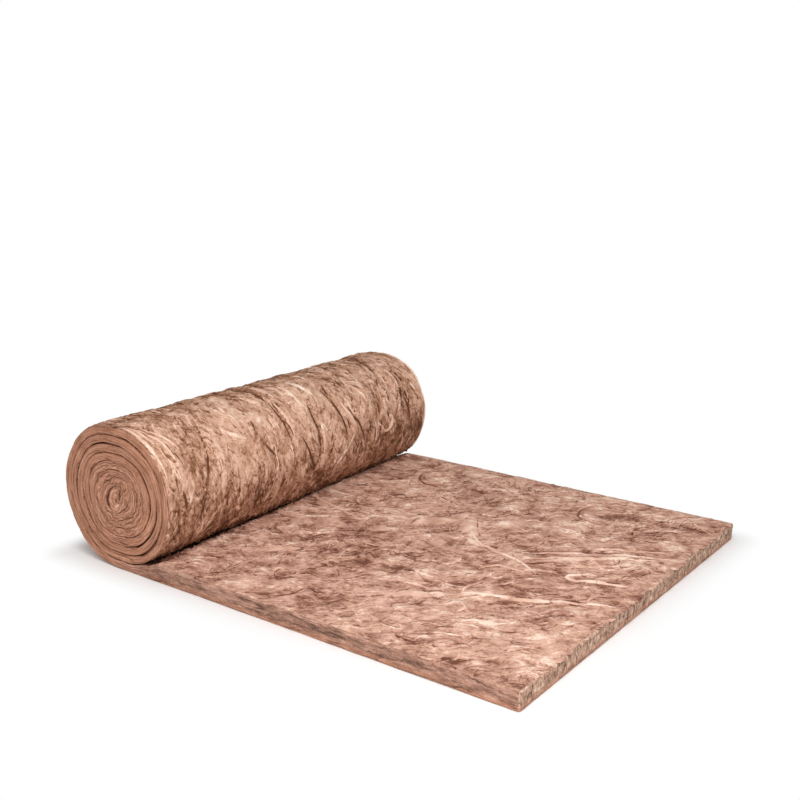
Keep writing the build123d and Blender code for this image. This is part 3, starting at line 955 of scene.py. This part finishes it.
# Single strands of the same wool, with hardly any mottle, so that each reads as one clean pale or dark line.
top_strand_wool = tuft_wool("glass_wool_strands", top_tones, 0.0045, 0.35, 0.001, way=2.5, combing=0.10, mottled=0.08)
wall_strand_wool = tuft_wool(
    "glass_wool_strands_of_underside", wall_tones, 0.0045, 0.35, 0.001, way=0.05, combing=0.15, mottled=0.12,
)
seen_strands("seen_strands_top", top_strand_wool, "top", (
    # the hook near the free end
    (((34, 10), (79, -2), (139, -20), (180, -38), (206, -28), (190, -8), (160, 17), (139, 19)), 12.5, 4.4, 1.00),
    # the long strand out to the free end, from a flat pale lens of fibre
    (((400, -300), (350, -262), (300, -242), (219, -215), (169, -190), (99, -150), (12, -115)), 14, 4.2, 0.94),
    (((530, -405), (480, -365), (425, -322), (372, -285)), 38, 5, 0.74),
    (((360, -280), (375, -235), (368, -200), (362, -170)), 6.2, 3.6, 0.85),
    (((560, -305), (500, -300), (440, -292), (390, -285)), 6.2, 3.6, 0.80),
    (((1010, -400), (965, -356), (920, -320), (872, -288)), 38, 5, 0.70),
    # a thin veil of fibre, and the strand that runs out of it
    (((640, 205), (672, 150), (705, 95), (742, 40)), 62, 4.4, 0.68),
    (((640, 200), (610, 150), (580, 105), (545, 55)), 62, 4.6, 0.70),
    (((610, 140), (560, 80), (519, 42), (439, 12), (339, -22), (268, -62)), 14, 4, 0.90),
    (((550, 45), (520, 25), (490, 20)), 28, 3.4, 0.80),
    (((268, -58), (290, -68), (340, -68), (385, -74), (412, -100), (418, -125)), 7, 3.6, 0.80),
    (((1165, 105), (1110, 62), (1060, 35), (980, 10), (890, -15)), 13.2, 3.8, 0.82),
    (((1085, 35), (1060, 18), (1030, 12)), 26, 3.4, 0.76),
    # smaller loops
    (((210, 100), (180, 92), (150, 65), (120, 82), (100, 88)), 7, 3.6, 0.82),
    (((690, -150), (660, -152), (630, -140), (612, -120)), 7, 3.6, 0.80),
    (((560, -200), (540, -225), (510, -240), (480, -235)), 7, 3.6, 0.78),
    (((1080, -205), (1060, -240), (1020, -255), (985, -250)), 8.5, 3.6, 0.78),
    (((300, -20), (240, 20), (150, 90), (60, 170)), 9.3, 3.4, 0.70),
    (((330, 10), (260, 60), (180, 130), (80, 215)), 9.3, 3.4, 0.72),
    (((90, -80), (95, -120), (85, -150)), 7.8, 3.6, 0.80),
    (((370, -80), (365, -130), (385, -190)), 6.2, 3.4, 0.74),
    # a streak of fibre combed out towards the free end, paler and darker by turns
    (((420, 12), (310, 88), (207, 150), (100, 204), (12, 238)), 10, 3.2, 0.78),
    (((370, 0), (250, 84), (132, 162), (30, 190)), 9, 3.2, 0.74),
    (((295, 50), (170, 135), (45, 212)), 8.5, 3.2, 0.76),
    (((257, 162), (150, 225), (45, 275)), 9, 3.2, 0.74),
    (((400, 38), (300, 108), (200, 168), (100, 222)), 8, 2.6, 0.24),
    (((350, 30), (250, 98), (140, 168), (60, 200)), 8, 2.6, 0.26),
    (((290, 70), (180, 144), (70, 212)), 7.5, 2.6, 0.26),
    # arcs of painted shade where one layer of felt ends over the next
    (((955, 500), (975, 460), (978, 420), (950, 370), (900, 350), (860, 355)), 9.3, 3.4, 0.08),
    (((375, 500), (397, 460), (402, 420), (380, 370), (330, 350), (290, 352)), 9.3, 3.4, 0.08),
    (((620, 195), (590, 150), (555, 100), (530, 75)), 7, 3.4, 0.10),
    (((746, 90), (750, 60), (742, 30)), 7, 3.4, 0.12),
    (((360, -40), (300, 5), (230, 55)), 7, 3.4, 0.10),
    (((150, -178), (120, -150), (95, -140)), 7, 3.4, 0.08),
    (((440, -320), (410, -300), (380, -296)), 6.2, 3.4, 0.06),
    # rings where the felt curls round a clump: the dark ones painted shade around it, the pale ones pale fibre
    (ring(900, 444, 75, 100, 290), 14, 2.6, 0.26),
    (ring(319, 438, 80, 90, 280), 14, 2.6, 0.26),
    (ring(588, 356, 56, -80, 70), 12, 2.6, 0.28),
    (ring(950, 138, 68, 20, 200), 14, 2.6, 0.28),
    (ring(419, 131, 56, -30, 240), 12, 2.6, 0.28),
    (ring(194, 100, 62, 180, 330), 8, 3, 0.78),
    (ring(519, 512, 75, -50, 60), 12, 2.6, 0.26),
    (ring(782, -100, 100, 40, 190), 14, 2.6, 0.28),
    (ring(338, -138, 38, -90, 90), 7, 3, 0.80),
    (ring(94, -250, 44, 0, 330), 12, 2.6, 0.28),
    (ring(1056, 525, 60, -60, 60), 12, 2.6, 0.28),
    (ring(469, -212, 56, -20, 200), 12, 2.6, 0.28),
    (ring(230, -420, 50, 150, 330), 8, 3, 0.80),
    (ring(1000, -180, 55, 60, 230), 12, 2.6, 0.28),
), 31)
seen_strands("seen_strands_wall", wall_strand_wool, "wall", (
    # a strip of pale fibre along the near rim
    (((1930, -593), (1980, -588), (2040, -583), (2090, -582)), 8, 3.6, 0.84),
    (((1990, -590), (2050, -588), (2110, -584), (2150, -583)), 7, 3.6, 0.88),
    (((1935, -584), (1990, -572), (2050, -562), (2110, -560)), 6, 3.6, 0.78),
    (((1950, -578), (2000, -558), (2060, -540), (2120, -536)), 6, 3.4, 0.80),
    (((1960, -560), (2010, -535), (2060, -512), (2090, -500)), 5, 3.4, 0.76),
    # the far rim: pale strands of painted highlight where it catches the light
    (((1900, 594), (2000, 593), (2100, 594), (2180, 593)), 4, 2.6, 0.92),
    (((2100, 592), (2200, 594), (2300, 592), (2390, 593)), 4, 2.6, 0.90),
    # pale flaps beside the grooves
    (((1945, 45), (1985, 58), (2020, 72), (2045, 82)), 24, 4, 0.84),
    (((1960, 0), (2010, 6), (2070, 8)), 14, 3.2, 0.80),
    (((1910, -78), (1960, -70), (2010, -62)), 20, 3.4, 0.78),
    (((1960, -165), (1990, -150), (2020, -128)), 24, 3.2, 0.78),
    (((2020, -85), (2080, -82), (2150, -78)), 12, 3.2, 0.74),
    (((2090, 165), (2140, 185), (2190, 212)), 10, 3, 0.76),
    (((2120, 45), (2180, 46), (2240, 42)), 10, 3, 0.72),
    (((2195, 325), (2215, 345), (2240, 370), (2225, 398), (2195, 402), (2185, 385)), 10, 3.4, 0.84),
    (((2060, -330), (2090, -300), (2110, -260)), 14, 3, 0.74),
    (((2040, 265), (2080, 280), (2130, 290)), 10, 2.8, 0.74),
    (((2010, 470), (2060, 478), (2120, 480)), 9, 2.8, 0.74),
# dark strands along the grooves: painted shade in them
) + tuple((groove, 8, 2, 0.02) for groove in grooves), 32)

# ---- The floor, the lights and the camera ----
# A plain white floor that fades into a white background around the object, and soft light from above and in front.
bpy.ops.mesh.primitive_plane_add(size=14, location=(0, 0, 0))
floor = bpy.context.object
floor.name = "studio_floor"
# Matt studio paint. It takes the object's shadow close by, and its white is lost in the background further out.
footprint, fade_reach = (0.72, 0.59, 0), 0.11
floor_paint = bpy.data.materials.new("studio_floor_paint")
floor_paint.use_nodes = True
tree = floor_paint.node_tree
tree.nodes.clear()
around = add(tree, "VectorMath", {0: add(tree, "TexCoord").outputs["Object"]}, operation="ABSOLUTE")
around = add(tree, "VectorMath", {0: around, 1: footprint}, operation="SUBTRACT")
around = add(tree, "VectorMath", {0: around, 1: (0, 0, 0)}, operation="MAXIMUM")
reach = add(tree, "VectorMath", {0: around}, operation="LENGTH").outputs["Value"]
fade = add(tree, "MapRange", {"Value": reach, "From Max": fade_reach}, interpolation_type="SMOOTHSTEP")


def seen_rays(tree):
    """1 for the rays that see the background: straight from the camera, by a reflection or through glass."""
    rays = add(tree, "LightPath").outputs
    seen = add(tree, "Math", {0: rays["Is Camera Ray"], 1: rays["Is Glossy Ray"]}, operation="MAXIMUM")
    return add(tree, "Math", {0: seen, 1: rays["Is Transmission Ray"]}, operation="MAXIMUM")


seen = add(tree, "Math", {0: fade, 1: seen_rays(tree)}, operation="MULTIPLY")
matte = add(tree, "BsdfDiffuse", {"Color": srgb("#F8F8F8")})
white = add(tree, "Emission", {"Color": srgb("#FFFFFF"), "Strength": 1.0})
mixed = add(tree, "MixShader", {0: seen, 1: matte, 2: white})
add(tree, "OutputMaterial", {"Surface": mixed})
floor.data.materials.append(floor_paint)

# White all round: full white where it is seen, and half as strong where it lights the object
world = bpy.data.worlds.new("studio_white")
bpy.context.scene.world = world
world.use_nodes = True
tree = world.node_tree
tree.nodes.clear()
dim = add(tree, "Background", {"Color": srgb("#FFFFFF"), "Strength": 0.5})
bright = add(tree, "Background", {"Color": srgb("#FFFFFF"), "Strength": 1.0})
mixed = add(tree, "MixShader", {0: seen_rays(tree), 1: dim, 2: bright})
add(tree, "OutputWorld", {"Surface": mixed})

# Each lamp's size, power, place, and what it is turned to
for name, size, power, place, turned_to in (
    ("soft_box", 1.6, 61, (1.4, -1.6, 2.45), (0, 0, 0.1)),
    ("low_soft_box", 1.4, 11, (1.5, -2.2, 0.75), (-0.3, 0, 0.2)),
):
    soft_box = bpy.data.lights.new(name, "AREA")
    soft_box.size = size
    soft_box.energy = power
    lamp = bpy.data.objects.new(name, soft_box)
    lamp.location = place
    lamp.rotation_euler = (Vector(turned_to) - lamp.location).to_track_quat("-Z", "Y").to_euler()
    bpy.context.scene.collection.objects.link(lamp)

# The camera's place and its turns, in degrees, were fitted to the outlines of the roll and the laid mat.
camera_data = bpy.data.cameras.new("camera")
camera_data.lens = 49.43
camera_data.sensor_width = 36
camera = bpy.data.objects.new("camera", camera_data)
view = Matrix.Translation((1.7448, -2.3615, 1.1859))
for degrees, axis in ((36.803, "Z"), (90 - 14.462, "X"), (-0.112, "Z")):
    view = view @ Matrix.Rotation(math.radians(degrees), 4, axis)
camera.matrix_world = view
bpy.context.scene.collection.objects.link(camera)
bpy.context.scene.camera = camera
bpy.context.scene.view_settings.view_transform = "Standard"
